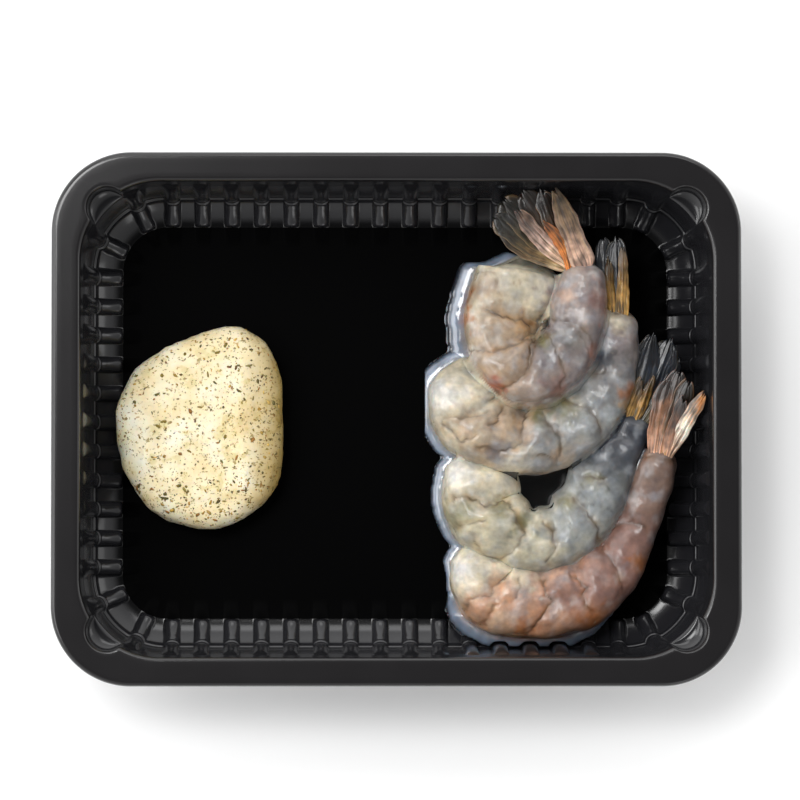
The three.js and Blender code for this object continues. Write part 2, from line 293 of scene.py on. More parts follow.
# How many ribs a long and a short side have, and their spacing.
RIBS = [(16, 8.35), (11, 8.15)]
CORNER_RIBS = (24.5, 65.5)
SHELF = HEIGHT - 10
POCKET = (LENGTH / 2 - 15.4, WIDTH / 2 - 15.4)
POCKET_RADIUS = 5.25
CORNER = 31.4
LIP_INNER, LIP_OUTER = 7.95, 1.5


def slope(start, end, count):
    """Even steps from one level of the wall towards the next, without the last."""
    return [tuple(np.array(start) + (np.array(end) - start) * i / count) for i in range(count)]


# Each level is its inset from the outer edge, its height, its corner radius and its rib share.
TOE = [(18.3 - 7.2 * u, 0.7 + 0.72 * u + 2.6 * u * u) for u in np.linspace(0, 1, 14)]
TOE += [(11.02, 4.35), (10.97, 5.1), (10.93, 5.65)]
LEVELS = [(24, 0.7, 7.3, 0)]
LEVELS += [(inset, z, 31.1 - inset, min(1, (18.3 - inset) / 1.9)) for inset, z in TOE]
LEVELS += [(10.85, 5.93, 20.25, 1), (10.55, 6.02, 20.5, 1), (10.3, 6.12, 20.65, 1)]
LEVELS += [(10.17, 6.4, 20.7, 1)]
LEVELS += slope((10.13, 6.9, 20.72, 1), (8.75, 27.9, 21.45, 1), 11)
LEVELS += [(8.75, 27.9, 21.45, 1), (8.74, 28.0, 21.46, 1), (8.73, 28.1, 21.47, 1)]
LEVELS += [(8.7, 28.4, 21.5, 1), (8.6, 29.3, 21.55, 1), (8.5, 30.5, 21.6, 0)]
LEVELS += slope((8.4, 31.6, 21.65, 0), (7.95, 36.9, 22, 0), 3)
LEVELS += [(7.95, 36.9, 22, 0), (7.85, 37.45, 22, 0), (7.6, 37.8, 22, 0), (7.2, 37.97, 22, 0)]
LEVELS += [(6.8, 38, 22, 0), (5.5, 38, 21.7, 0), (3, 38, 21, 0), (1.7, 38, 20.7, 0)]
LEVELS += [(1.2, 37.98, 20.9, 0), (0.8, 37.9, 21.2, 0), (0.5, 37.72, 21.5, 0), (0.28, 37.45, 21.7, 0)]
LEVELS += [(0.12, 37.1, 21.85, 0), (0.03, 36.7, 21.95, 0), (0, 36.2, 22, 0), (0, 34.5, 22, 0)]
print(len(LEVELS), "levels from the floor to the lip")


# %% Shape of a rib
def rib(aside, z):
    """How far a rib stands in from the wall, beside its middle line and at a height."""
    body = np.clip(1 - np.abs(aside / RIB_HALF_WIDTH) ** 2.1, 0, None) ** 0.5
    climb = np.clip((z - RIB_FOOT) / (RIB_TOP - RIB_FOOT), 0, 1)
    return RIB_DEPTH * body * np.clip(1 - climb**2.4, 0, None) ** 0.8


def rib_lift(depth, z):
    """How far the foot of a rib is raised where it lies on the curved toe of the wall."""
    return 0.85 * depth * float(1 - smoothstep(3.6, 5.6, z))


# %% Stations round the tray
# A station is a quarter, an angle in its corner, or a distance from the middle of its side.
RIB_STATIONS = (-1.15, -1, -0.93, -0.75, -0.42, 0, 0.42, 0.75, 0.93, 1, 1.15)
stations = []
for quarter in range(4):
    stations += [(quarter, math.radians(1.5 * step), None) for step in range(61)]
    count, pitch = RIBS[quarter % 2]
    reach = (LENGTH, WIDTH)[quarter % 2] / 2 - CORNER
    marks = [
        (i - (count - 1) / 2) * pitch + offset * RIB_HALF_WIDTH
        for i in range(count)
        for offset in RIB_STATIONS
    ]
    marks += [(i + 0.5) * pitch - count * pitch / 2 for i in range(-1, count)]
    marks = sorted((m for m in marks if abs(m) < reach), reverse=True)
    stations += [(quarter, math.pi / 2, mark) for mark in marks]
stations.append(stations[0])
print(len(stations), "stations round the tray")


# %% Place a point of the wall
def wall_point(station, level):
    """The place of one grid point, from where it is round the tray and how far up the wall."""
    quarter, angle, mark = station
    inset, z, corner, share = level
    centre = np.array([LENGTH / 2 - inset - corner, WIDTH / 2 - inset - corner])
    turn = math.radians(90 * quarter) + angle
    outward = np.array([math.cos(turn), math.sin(turn)])
    sides = np.array([(1, 1), (-1, 1), (-1, -1), (1, -1)][quarter])
    if mark is not None:
        count, pitch = RIBS[quarter % 2]
        nearest = np.clip(round(mark / pitch + (count - 1) / 2), 0, count - 1)
        depth = rib(mark - (nearest - (count - 1) / 2) * pitch, z)
        half = centre[quarter % 2]
        across = np.array([-outward[1], outward[0]])
        place = sides * centre + outward * (corner - depth * share) + across * (half - mark)
        return (*place, z + rib_lift(depth * share, z))
    depth = max(rib((angle - math.radians(a)) * corner, z) for a in CORNER_RIBS)
    for turned, side in ((angle, (quarter + 1) % 2), (math.pi / 2 - angle, quarter % 2)):
        count, pitch = RIBS[side]
        depth = max(depth, rib(centre[side] - (count - 1) / 2 * pitch + turned * corner, z))
    reach = corner - depth * share
    lift = rib_lift(depth * share, z)
    # Above the shelf the wall steps out to the round pocket wherever that lies further out.
    if z > SHELF - 0.05:
        away = sides * np.array(POCKET) - sides * centre
        radius = POCKET_RADIUS + 0.05 * (z - SHELF)
        middle = away @ outward
        inside = middle**2 - away @ away + radius**2
        if inside > 0:
            far = middle + math.sqrt(inside) + max(0, LIP_INNER - inset)
            # The step dies out over the lip, so that the outer edge keeps its shape.
            held = np.clip((inset - LIP_OUTER) / 6.0, 0, 1) * smoothstep(SHELF - 0.05, SHELF + 0.1, z)
            reach += max(0, far - reach) * float(held)
    return (*(sides * centre + outward * reach), z + lift)


# %% Wrap the sheet
bm = bmesh.new()
bmesh.ops.create_grid(bm, x_segments=len(stations) - 1, y_segments=len(LEVELS) - 1, size=1)
for vertex in bm.verts:
    column = round((vertex.co.x + 1) / 2 * (len(stations) - 1))
    row = round((vertex.co.y + 1) / 2 * (len(LEVELS) - 1))
    vertex.co = wall_point(stations[column], LEVELS[row])
bmesh.ops.remove_doubles(bm, verts=bm.verts, dist=0.0005)
floor_edge = [e for e in bm.edges if e.is_boundary and e.verts[0].co.z < 1]
bmesh.ops.contextual_create(bm, geom=floor_edge)
bmesh.ops.recalc_face_normals(bm, faces=bm.faces)
floor_face = max(bm.faces, key=lambda face: face.calc_area())
if floor_face.normal.z < 0:
    bmesh.ops.reverse_faces(bm, faces=bm.faces)
# The floor's faces take the second finish, which is painted near black as painted shade.
for face in bm.faces:
    face.material_index = int(max(v.co.z for v in face.verts) < 0.75)
tray_tree = BVHTree.FromBMesh(bm)
print("open edges:", sum(e.is_boundary for e in bm.edges))

# %% [markdown]
# ### Black plastic
# Drawn black plastic is dark grey where light falls on it and glossy where it curves, and it is
# rubbed paler in places. A faint grain breaks the gloss as a mould's skin does. Its colour is
# painted a little paler on the walls than on the flange, as painted light that the walls catch,
# and near black at the foot of the wall, as painted shade. The floor's faces get a finish of
# their own, near black and almost without gloss: painted shade for the deepest part, which would
# mirror only the dark above it.

# %% Materials of the tray
black_plastic, shader = new_material("black_plastic", Roughness=0.17, Specular_IOR_Level=0.5)
rise = share_across(black_plastic, "Z", 0, HEIGHT * MM)
rubbed = mix(black_plastic, grain(black_plastic, 60), (0.8,) * 3, (1.2,) * 3)
# Painted shade near black at the foot of the wall, and painted light on the walls, a little paler than
# on the flange.
colour = ramp(
    black_plastic, rise,
    (0.02, linear(6, 6, 7)), (0.04, linear(35, 35, 38)), (0.9, linear(30, 30, 32)),
    (0.97, linear(29, 28, 29)),
)
wire_colour(black_plastic, shader, colour, rubbed)
bump(black_plastic, shader, grain(black_plastic, 2500, 2), 0.01, 0.25)
painted_shade_black, shader = new_material(
    "painted_shade_black", Base_Color=(0.0005, 0.0005, 0.0006, 1), Roughness=0.5, Specular_IOR_Level=0.02
)

tray = make_piece("tray_sheet", bm, [black_plastic, painted_shade_black], "tray_plastic", "tray")
sheet = tray.modifiers.new("sheet", "SOLIDIFY")
sheet.thickness = SHEET * MM
sheet.offset = -1

# %% [markdown]
# ## The butter
# The pat is soft butter worked with chopped herbs and garlic, set down on the floor, so it has an
# upright, slightly dented side and a domed top with a rounded edge. A sphere already has rings
# from top to bottom: each ring takes the pat's outline, drawn in or lifted as its profile says.

# %% Shape of the butter
OUTLINE = [(-46.5, 26.8), (-37.7, 23.2), (-32.8, 15.0), (-31.6, 2.0), (-32.0, -12.4)]
OUTLINE += [(-36.0, -21.8), (-44.0, -27.7), (-54.0, -30.0), (-66.0, -26.2), (-74.6, -16.8)]
OUTLINE += [(-78.3, -3.4), (-77.2, 6.8), (-71.2, 16.2), (-59.3, 23.2)]
# The profile runs from the middle of the top to the middle of the foot: inset, then height. Only
# the rounded edge keeps its inset all round. Further in, the rings close evenly on the middle.
ROUNDED, MIDDLE = 6.5, 30
PROFILE = [(30, 12.6), (20, 12.55), (12, 12.5), (6.5, 12.25), (3.4, 11.7), (1.4, 10.4), (0.3, 8.6)]
PROFILE += [(0, 6.0), (0.05, 3.6), (0.5, 1.7), (1.8, 0.3), (4.5, 0.02), (14, 0), (30, 0)]

bm = bmesh.new()
bmesh.ops.create_uvsphere(bm, u_segments=220, v_segments=130, radius=1)
ball = places(bm.verts)
turn = np.arctan2(ball[:, 1], ball[:, 0]) / (2 * np.pi) % 1
edge = curve(OUTLINE, 1 - turn, closed=True)
centre = np.mean(OUTLINE, axis=0)
climb = np.arccos(ball[:, 2].clip(-1, 1)) / np.pi
profile = np.array(PROFILE, float)
lengths = np.hypot(*np.diff(profile, axis=0).T)
lengths[[0, -1]] = 8
marks = np.concatenate([[0], np.cumsum(lengths)]) / lengths.sum()
share = np.interp(climb, marks, np.arange(len(PROFILE)) / (len(PROFILE) - 1))
inset, height = curve(PROFILE, share).T
reach = np.linalg.norm(edge - centre, axis=1)
evened = ROUNDED + (inset - ROUNDED) * (reach - ROUNDED) / (MIDDLE - ROUNDED)
inward = np.where(inset < ROUNDED, inset, evened)
scale = 1 - np.clip(inward / reach, 0, 1)
scale[(climb < 1e-4) | (climb > 1 - 1e-4)] = 0
flat = centre + (edge - centre) * scale[:, None]
pat = np.column_stack([flat, height + FLOOR + 0.35])
swell = ruffle(pat, 7.0, 0.55) + ruffle(pat, 2.4, 0.28, 5) + ruffle(pat, 0.9, 0.1, 9)
lift = smoothstep(0.4, 3, pat[:, 2] - FLOOR)
outward = np.column_stack([(edge - centre) / reach[:, None], np.zeros(len(pat))])
up = smoothstep(1.5, 7, inset)[:, None]
pat += (outward * (1 - up) + np.array([0, 0, 1]) * up) * (swell * lift)[:, None]
# The dents and swells stay within the solid's own box.
LEFT_FRONT, RIGHT_BACK = (-78.4, -29.95), (-31.5, 26.75)
pat[:, :2] = np.clip(pat[:, :2], LEFT_FRONT, RIGHT_BACK)
move_to(bm.verts, pat)
bmesh.ops.remove_doubles(bm, verts=bm.verts, dist=0.001)
bmesh.ops.recalc_face_normals(bm, faces=bm.faces)
butter_tree = BVHTree.FromBMesh(bm)
print(f"the pat is {np.ptp(pat[:, 0]):.1f} by {np.ptp(pat[:, 1]):.1f} mm")

# %% [markdown]
# ### Butter
# Butter is creamy yellow, paler where garlic is worked in, and it lets a little light in. One noise
# makes its clouds, and the peaks of six finer ones are the specks of herb just under the skin.
# The pat is painted paler on the left, as a painted highlight on the side that faces the light,
# and darker and browner on the right, as painted shade on the edge that turns from it. A ramp
# across the pat does both.

# %% Material of the butter
butter, shader = new_material(
    "herb_butter", Roughness=0.55, Subsurface_Weight=0.45, Subsurface_Scale=0.0016,
    Subsurface_Radius=(1, 0.7, 0.35), Specular_IOR_Level=0.3, Coat_Weight=0.05, Coat_Roughness=0.3,
)
colour = ramp(
    butter, grain(butter, 130, 5),
    (0.3, linear(250, 244, 224)), (0.5, linear(245, 233, 198)), (0.72, linear(239, 219, 170)),
)
wander = add_node(butter, "ShaderNodeMath", {0: grain(butter, 120, 2)}, operation="MULTIPLY")
wander.inputs[1].default_value = 0.006
side = share_across(butter, "X", -0.076, -0.029, wander.outputs[0])
# Painted light and shade across the pat: paler on the left, darker and browner at the right edge.
edges = ramp(
    butter, side,
    (0.0, (1.25, 1.25, 1.22)), (0.14, (1, 1, 1)), (0.74, (0.97, 0.95, 0.9)),
    (0.97, (0.42, 0.33, 0.15)),
)
# A layer of specks is its scale, how high its peaks begin, and its tint.
for scale, low, tint in (
    (260, 0.6, (228, 214, 164)), (660, 0.65, (150, 130, 62)), (900, 0.65, (122, 104, 42)),
    (520, 0.69, (172, 130, 58)), (1150, 0.64, (146, 122, 56)), (800, 0.67, (184, 146, 60)),
):
    peaks = ramp(butter, grain(butter, scale, 2), (low, (0, 0, 0)), (low + 0.05, (0.8,) * 3))
    colour = mix(butter, peaks, colour, linear(*tint))
wire_colour(butter, shader, colour, edges)
bump(butter, shader, grain(butter, 700, 5), 0.12, 0.6)

make_piece("butter_pat", bm, [butter], "herb_butter", "garlic_butter")

# %% [markdown]
# ### Herbs
# Bits of parsley, garlic and spice lie in the top skin of the pat. Each is a ball of only twenty
# faces, squashed to a flake, turned at random and half sunk where a plumb line meets the butter.


# %% Scatter the herbs
def scatter(name, count, colours, low, high, flatness):
    """Sinks small flakes into the butter, and returns their piece."""
    flakes, tints = bmesh.new(), []
    while count:
        spot = Vector((chance.uniform(-78, -32), chance.uniform(-29.5, 26.5), 40))
        hit, normal, _, _ = butter_tree.ray_cast(spot, DOWN)
        if hit is None or hit.z < 3:
            continue
        # The bits gather towards the right and front edges.
        near_edge = max(smoothstep(-52, -34, hit.x), smoothstep(-12, -26, hit.y))
        if chance.random() > 0.35 + 0.65 * near_edge:
            continue
        size = chance.uniform(low, high)
        stretch = Vector((chance.uniform(0.5, 1.5), chance.uniform(0.35, 0.8), flatness)) * size
        made = bmesh.ops.create_icosphere(flakes, subdivisions=1, radius=1)["verts"]
        spin = Matrix.Rotation(chance.uniform(0, math.tau), 4, "Z")
        turn = normal.to_track_quat("Z", "Y").to_matrix().to_4x4()
        tilt = Matrix.Rotation(chance.uniform(-0.3, 0.3), 4, "X")
        for vertex in made:
            vertex.co *= chance.uniform(0.75, 1.2)
        matrix = Matrix.Translation(hit) @ turn @ spin @ tilt @ Matrix.Diagonal((*stretch, 1))
        bmesh.ops.transform(flakes, matrix=matrix, verts=made)
        tint = linear(*chance.choice(colours)) * chance.uniform(0.7, 1.25)
        tints += [tint] * len(made)
        count -= 1
    return make_piece(name, flakes, [herb], "herb_butter", colours=np.array(tints))


herb, shader = new_material("chopped_herbs", Roughness=0.6, Coat_Weight=0.1)
flecks = mix(herb, grain(herb, 3000, 2), (0.55,) * 3, (1.25,) * 3)
wire_colour(herb, shader, own_tint(herb), flecks)
bump(herb, shader, grain(herb, 4000, 2), 0.05)

GREENS = [(128, 110, 34), (142, 122, 42), (104, 90, 28), (150, 132, 56), (92, 80, 30), (124, 114, 58)]
BROWNS = [(158, 108, 40), (132, 90, 34), (176, 122, 48), (104, 74, 34)]
GOLDS = [(196, 158, 66), (208, 170, 84), (178, 138, 50)]
scatter("parsley_flakes", 430, GREENS, 0.16, 0.5, 0.16)
scatter("parsley_bits", 70, GREENS, 0.5, 0.9, 0.14)
scatter("spice_flakes", 150, BROWNS, 0.16, 0.45, 0.25)
scatter("spice_clumps", 16, BROWNS, 0.5, 0.9, 0.12)
scatter("garlic_bits", 70, GOLDS, 0.25, 0.75, 0.3)

# %% [markdown]
# ## The prawns
# Each prawn is raw, peeled, and curled on its side, with the last joint and the tail fan left on.
# A sphere of many rings is drawn out along the prawn's spine: rings near its poles make the cut
# head end and the root of the tail. Broad creases part the six segments, deepest at the belly.
# The fine dark seams between lobes of flesh follow lines as they run on the real animals, seen
# from above, and press into the upper side.

# %% Spines of the prawns
# A spine point is x, y, height and half the depth from back to belly.
PRAWNS = {
    "prawn_top": [
        (35.5, 46.4, 13, 6.2), (34.8, 39.2, 13.5, 12.8), (30.1, 27.9, 15.5, 11.2),
        (31.3, 18.4, 18, 10.3), (37.5, 13.9, 19.5, 9.8), (43.9, 16.7, 20, 9.2),
        (49.0, 22.9, 20.2, 8.3), (51.4, 33.8, 21, 7.4), (52.2, 44.4, 22.4, 5.3),
    ],
    "prawn_right": [
        (19.8, 18.1, 12, 6.7), (19.5, 8.5, 12.6, 10.4), (22.6, 0.9, 13, 11.5),
        (32.1, -4.2, 13.6, 10.7), (42.2, -4.2, 14.2, 10.1), (51.1, 0.0, 14.8, 9.3),
        (57.3, 7.0, 15.2, 8.1), (60.6, 15.7, 15.6, 7), (61.3, 23.6, 16.6, 6.5),
        (62.2, 31.5, 18.2, 4.6),
    ],
    "prawn_middle": [
        (24.9, -5.5, 10.5, 6.7), (24.1, -15.1, 10.6, 10.4), (24.9, -24.6, 10.8, 11.2),
        (32.8, -31.4, 11, 10.3), (42.0, -33.0, 11.2, 9.6), (50.6, -27.8, 11.4, 9.8),
        (55.7, -19.3, 11.8, 9.8), (60.4, -11.2, 12.4, 8.1), (65.0, -4.4, 13, 5.9),
        (67.4, 2.2, 14.6, 4.5),
    ],
    "prawn_front": [
        (24.9, -32.5, 10.2, 6.8), (24.3, -40.4, 10.6, 9.3), (27.2, -47.4, 11.4, 10.5),
        (33.3, -50.1, 12, 10.4), (42.8, -50.2, 12, 10.3), (52.1, -47.5, 11.6, 10.1),
        (59.4, -41.4, 11.2, 9.1), (64.8, -33.6, 11.4, 7.3), (68.9, -24.6, 12.4, 6.5),
        (71.9, -16.3, 14.4, 5.9), (75.1, -7.9, 17.4, 4.9),
    ],
}
# How far each one's segments lean towards its head on the belly side.
SLANTS = dict(prawn_top=0.02, prawn_right=0.03, prawn_middle=0.03, prawn_front=0.05)
SEGMENT_ENDS = (0.2, 0.35, 0.49, 0.62, 0.75)

# %% Seams of the prawns
# A seam is its depth and the line that it follows, seen from above.
SEAMS = {
    "prawn_top": [
        (0.25, [(19.6, 33.6), (20.6, 38.6), (22, 41.1), (24.7, 41.6), (27.3, 41), (28.2, 39.3),
          (28, 36.8), (29.2, 34.1)]),
        (0.9, [(24.7, 30.9), (27.9, 29.7), (30.5, 28.7), (33.2, 27.9), (35.6, 28.3), (38, 26.4)]),
        (0.5, [(18.7, 19.7), (22.6, 19.3), (26.8, 19.1), (30, 20), (33.7, 21.3), (36.7, 23.2)]),
        (0.7, [(38.5, 24.5), (37.6, 20.3), (37, 16), (35.6, 12.3), (32.1, 9.9), (27.9, 7.6), (24.2, 9.1),
          (22.6, 11.8)]),
        (0.5, [(41.5, 24), (43.8, 20.8), (46, 16), (46.9, 12.3), (45.7, 8.3)]),
        (0.4, [(43.3, 28.3), (47, 27.2), (51.3, 25.9), (53.7, 23.5), (55.3, 20.3)]),
        (0.35, [(51, 23.5), (53.1, 20.3), (53.8, 17.4), (52.8, 14.4)]),
        (0.6, [(45.9, 43.9), (47.6, 45.1), (51, 45.3), (54.5, 44.5), (56.5, 44.1)]),
    ],
    "prawn_right": [
        (0.3, [(12.6, -1.1), (12.7, 0.3), (14.7, 1.3), (18.4, 0.5), (22.2, 1), (25.4, 2.4)]),
        (0.5, [(12.6, -1.1), (14.7, -2.9), (16.8, -4.9), (18.2, -6.5), (20.2, -5.1), (22.2, -4.1)]),
        (0.8, [(30.2, 4.3), (28.9, 1.9), (28.2, -0.5), (25.9, -1.6)]),
        (0.8, [(37.4, 4.5), (36.2, 2.4), (35.3, -0.3), (34.9, -3.2), (35.6, -5.6), (34.5, -7.3)]),
        (0.6, [(40.9, 2.4), (42.4, -0.8), (43.8, -2.9), (45.6, -5.1), (45.9, -8.4), (45.2, -11.2)]),
        (0.35, [(42.6, -0.5), (44.1, -0.7), (45.6, -1.4)]),
        (0.9, [(22.4, -7.8), (25.4, -7.8), (28.2, -9.1), (30.5, -8.7), (33.7, -7.4)]),
        (0.6, [(39.3, -10), (41.9, -10), (44.3, -10.5), (45.2, -11.6)]),
        (0.5, [(46.5, 6.1), (49.4, 5.1), (53.1, 3.5), (56.3, 0), (56.9, -2.9)]),
        (0.4, [(52.6, 13.2), (55.3, 13.1), (57.9, 13.9)]),
        (0.6, [(58.2, 31.5), (60.6, 30.2), (63.8, 29.9), (66.7, 29.6)]),
    ],
    "prawn_middle": [
        (0.6, [(15.6, -22.6), (16.4, -21.3), (19.6, -21.3), (22.8, -22.4), (24.5, -24), (27.2, -23.4),
          (30.3, -21.8), (32.2, -22.7)]),
        (0.4, [(16.4, -30), (19.6, -28.8), (24.4, -28)]),
        (0.8, [(32.3, -23.7), (33.5, -26.6), (34.8, -29), (36.1, -30.9)]),
        (0.4, [(20.8, -31.2), (22.3, -35), (25.5, -38.1), (29.2, -38.8), (31.7, -37.1), (34.1, -34.5),
          (36.1, -30.9)]),
        (0.7, [(41.3, -28.2), (43.6, -30.7), (44.3, -34.4), (43.7, -37.6), (42.1, -39.1)]),
        (0.8, [(49, -21.3), (51.8, -23.8), (54.5, -27), (56.5, -30.1), (57.1, -34.1)]),
        (0.6, [(52.2, -15.4), (54.9, -15.7), (58.4, -16.3)]),
    ],
    "prawn_front": [
        (0.5, [(19, -52.8), (20, -50), (22.8, -49.2), (26.4, -48.9), (27.3, -47.4)]),
        (0.5, [(19.6, -55.9), (22.3, -56.8), (24.8, -56.9), (25.6, -54.5), (27.2, -51.5)]),
        (0.5, [(26.4, -48.1), (28.1, -45.1), (29.9, -44)]),
        (0.4, [(33.3, -49.4), (34.6, -46.4), (34.2, -44)]),
        (0.9, [(37.5, -58.7), (39, -56.9), (41.5, -53.8), (43.7, -50.5), (41.8, -48.3), (41, -44)]),
        (0.8, [(48.2, -42.3), (50.7, -44), (52.9, -46.3), (52.2, -48.4), (53.3, -51.5), (54.5, -53.4)]),
        (0.6, [(57.1, -34.1), (58.2, -36.8), (60.8, -39.5), (62.4, -43.5), (63.6, -46.8)]),
        (0.5, [(57.3, -30.2), (62.4, -28.6), (65.9, -28.4), (69.9, -29.9)]),
        (0.6, [(68.8, -9.8), (71.7, -10.1), (75.2, -10.9), (77.9, -11.4)]),
    ],
}

# %% Tints of the flesh
# The palest tint stands only for painted highlights.
TINTS = dict(
    painted_sheen=(226, 224, 218), cream=(206, 197, 174), ivory=(184, 178, 156), tan=(164, 142, 118),
    gold=(162, 126, 78), peach=(190, 144, 114), amber=(172, 108, 58), rose=(136, 102, 92),
    red=(156, 82, 58), lilac=(112, 105, 107), pearl=(138, 127, 124), grey=(114, 112, 110),
    blush=(184, 156, 138), mist=(136, 140, 140), slate=(56, 60, 69), olive=(116, 112, 72),
    fawn=(126, 104, 94),
)
# The whole prawn's own colours come first, from head to tail, then a touch of another tint round
# a spot: its name, place and radius.
# The palest touches, along the left edges, are painted highlights, and the blush on the top prawn's tail
# at 47.4, 34.5 is a softened painted highlight.
TOUCHES = {
    "prawn_top": (("cream", "tan", "lilac", "pearl"), [
        ("painted_sheen", 21, 28, 2.4), ("painted_sheen", 21.5, 19, 2.6), ("blush", 49.5, 43.5, 4.2),
        ("cream", 36.4, 40, 10.6), ("cream", 24.2, 31.4, 3.2), ("tan", 24.7, 36.8, 4),
        ("tan", 29, 26.1, 7.4), ("gold", 36.4, 26.4, 3.7), ("tan", 27.9, 16, 6.9),
        ("red", 27.1, 9.6, 2.6), ("lilac", 41.7, 17.6, 5.8), ("olive", 41.2, 21.9, 2.4),
        ("grey", 48.6, 21.3, 6.3), ("pearl", 49.2, 15, 5.8), ("rose", 54.7, 19.2, 2.6),
        ("pearl", 50.2, 35.7, 7.9), ("rose", 56.3, 33.6, 3.7), ("pearl", 46, 35.7, 3.2),
        ("amber", 19.1, 35.7, 2.1), ("amber", 19.1, 28.3, 2.1), ("rose", 44.9, 9.1, 3.2),
        ("blush", 47.4, 34.5, 3),
    ]),
    "prawn_right": (("cream", "tan", "mist", "pearl"), [
        ("cream", 18.4, 8.3, 11.1), ("painted_sheen", 12.6, 7, 4.4), ("tan", 19, -1.6, 4.5),
        ("cream", 14.7, -6.1, 3.7), ("tan", 30.2, -1.3, 5.3), ("gold", 34.2, 0.8, 2.1),
        ("grey", 40.9, -3.5, 4.7), ("olive", 39.8, 1.3, 2.6), ("mist", 51.5, -0.8, 7.9),
        ("olive", 47.3, 4, 3.2), ("grey", 57.4, 11.5, 6.3), ("mist", 38.7, -10.9, 4.7),
        ("cream", 32.3, -12.5, 4.2), ("amber", 65.2, 9.8, 1.5), ("amber", 64.8, 7.2, 1.4),
        ("gold", 64, 4.6, 1.6), ("pearl", 61.1, 25.4, 5.3), ("slate", 57.4, 17.9, 3.2),
        ("cream", 61.8, 28.6, 3.4), ("amber", 63.2, 7.4, 1.5), ("lilac", 28.1, -8.3, 3.2),
    ]),
    "prawn_middle": (("cream", "ivory", "mist", "slate"), [
        ("cream", 24.4, -16.2, 10), ("painted_sheen", 16.4, -14.5, 4), ("olive", 18.5, -25.3, 4.2),
        ("olive", 28.7, -24.2, 3.2), ("ivory", 26.5, -33.9, 6.9), ("ivory", 38.8, -32.8, 5.8),
        ("olive", 35.1, -28, 2.9), ("mist", 48.5, -28.5, 7.4), ("olive", 47.9, -22.6, 2.6),
        ("mist", 54.9, -20.5, 5.3), ("olive", 54.9, -16.5, 2.9), ("slate", 60.8, -6.6, 8.4),
        ("slate", 63.4, 0.9, 4.7),
    ]),
    "prawn_front": (("cream", "peach", "rose", "fawn"), [
        ("cream", 20.1, -41.3, 8.4), ("painted_sheen", 17.4, -41, 3.8), ("blush", 38.8, -40.2, 7.4),
        ("peach", 22.8, -52.6, 4.7), ("peach", 30.3, -47.2, 4.7), ("peach", 36.7, -51.5, 5.8),
        ("amber", 35.1, -57.9, 2.4), ("peach", 44.2, -55.8, 4.7), ("rose", 46.3, -48.3, 5.3),
        ("rose", 57.6, -45.1, 7.9), ("rose", 62.9, -32.3, 5.8), ("amber", 54.9, -55.3, 3.2),
        ("amber", 67.7, -39.7, 2.6), ("fawn", 70.9, -18.4, 7.4), ("fawn", 74, -10.5, 4.5),
        ("cream", 34, -42, 4.6),
    ]),
}


# %% Follow a spine
def frame_along(spine, shares):
    """Centre, half depth, and the directions along, to the belly and up, at shares of a spine."""
    spine = np.array(spine, float)
    spots = curve(spine, shares)
    along = curve(spine, shares + 0.002) - curve(spine, shares - 0.002)
    along = unit(along[:, :3])
    belly = unit(np.column_stack([-along[:, 1], along[:, 0], np.zeros(len(along))]))
    return spots[:, :3], spots[:, 3], along, belly, np.cross(along, belly)


def distance_to_line(points, line):
    """How far each point is from a line of short straights, seen from above."""
    nearest = np.full(len(points), 1e9)
    for start, end in zip(np.array(line[:-1]), np.array(line[1:])):
        run = end - start
        share = np.clip((points - start) @ run / (run @ run), 0, 1)
        nearest = np.minimum(nearest, np.linalg.norm(points - start - share[:, None] * run, axis=1))
    return nearest


# %% Draw out a body
def draw_body(name, around=144, rings=300):
    """A prawn's body, with each point's share along it and how near it is to a seam."""
    bm = bmesh.new()
    bmesh.ops.create_uvsphere(bm, u_segments=around, v_segments=rings, radius=1)
    ball = places(bm.verts)
    share = np.arccos((-ball[:, 2]).clip(-1, 1)) / np.pi
    angle = np.arctan2(ball[:, 1], ball[:, 0])
    toward_belly, upper = np.cos(angle), np.sin(angle)
    leant = share + 4 * share * (1 - share) * SLANTS[name] * toward_belly
    centre, half, along, belly, up = frame_along(PRAWNS[name], leant)
    dome = np.sqrt(np.clip(share / 0.1, 0, 1))
    close = np.sqrt(np.clip(1 - (np.clip(share - 0.955, 0, 1) / 0.045) ** 2, 0, 1))
    crease = np.zeros(len(share))
    for end in SEGMENT_ENDS:
        crease += bell(share - end, 0.03) * (0.07 + 0.07 * toward_belly)
        narrow = bell(share - end, 0.008) * (0.06 + 0.05 * toward_belly)
        crease += narrow * smoothstep(0.1, -0.5, upper)
    radius = half * dome * close * (1 - crease)
    # The cross-section is a little squarer than a circle above, and round below.
    full = (np.abs(toward_belly) ** 2.5 + np.abs(upper) ** 2.5) ** -0.4
    full = np.where(upper > 0, full, 1)
    out = belly * (full * toward_belly)[:, None]
    out = out + up * (0.86 * full * (1 - 0.14 * toward_belly) * upper)[:, None]
    points = centre + out * radius[:, None]
    normal = unit(out)
    seen = smoothstep(-0.25, 0.25, upper)
    seam, warm, press = np.zeros((3, len(share)))
    plan = points[:, :2] + np.column_stack([ruffle(points, 1.7, 0.7, 2), ruffle(points, 1.7, 0.7, 6)])
    broken = 0.3 + 0.7 * smoothstep(-0.3, 0.25, ruffle(points, 2.6, 1, 12))
    for depth, line in SEAMS[name]:
        away = distance_to_line(plan, line)
        press += depth * seen * (0.4 * bell(away, 0.5) + 0.6 * bell(away, 1.7))
        thin = seen * broken * min(1, depth * 1.5) * bell(away, 0.3)
        warm = np.maximum(warm, seen * min(1, depth * 1.4) * bell(away, 1.2))
        seam = np.maximum(seam, thin)
    lumps = ruffle(points, 6.0, 0.7, 3) + ruffle(points, 2.6, 0.14, 8) + ruffle(points, 0.9, 0.03, 4)
    points += normal * ((lumps - press) * close)[:, None]
    move_to(bm.verts, points)
    bmesh.ops.remove_doubles(bm, verts=bm.verts, dist=0.0005)
    bmesh.ops.recalc_face_normals(bm, faces=bm.faces)
    return bm, share, seam, warm


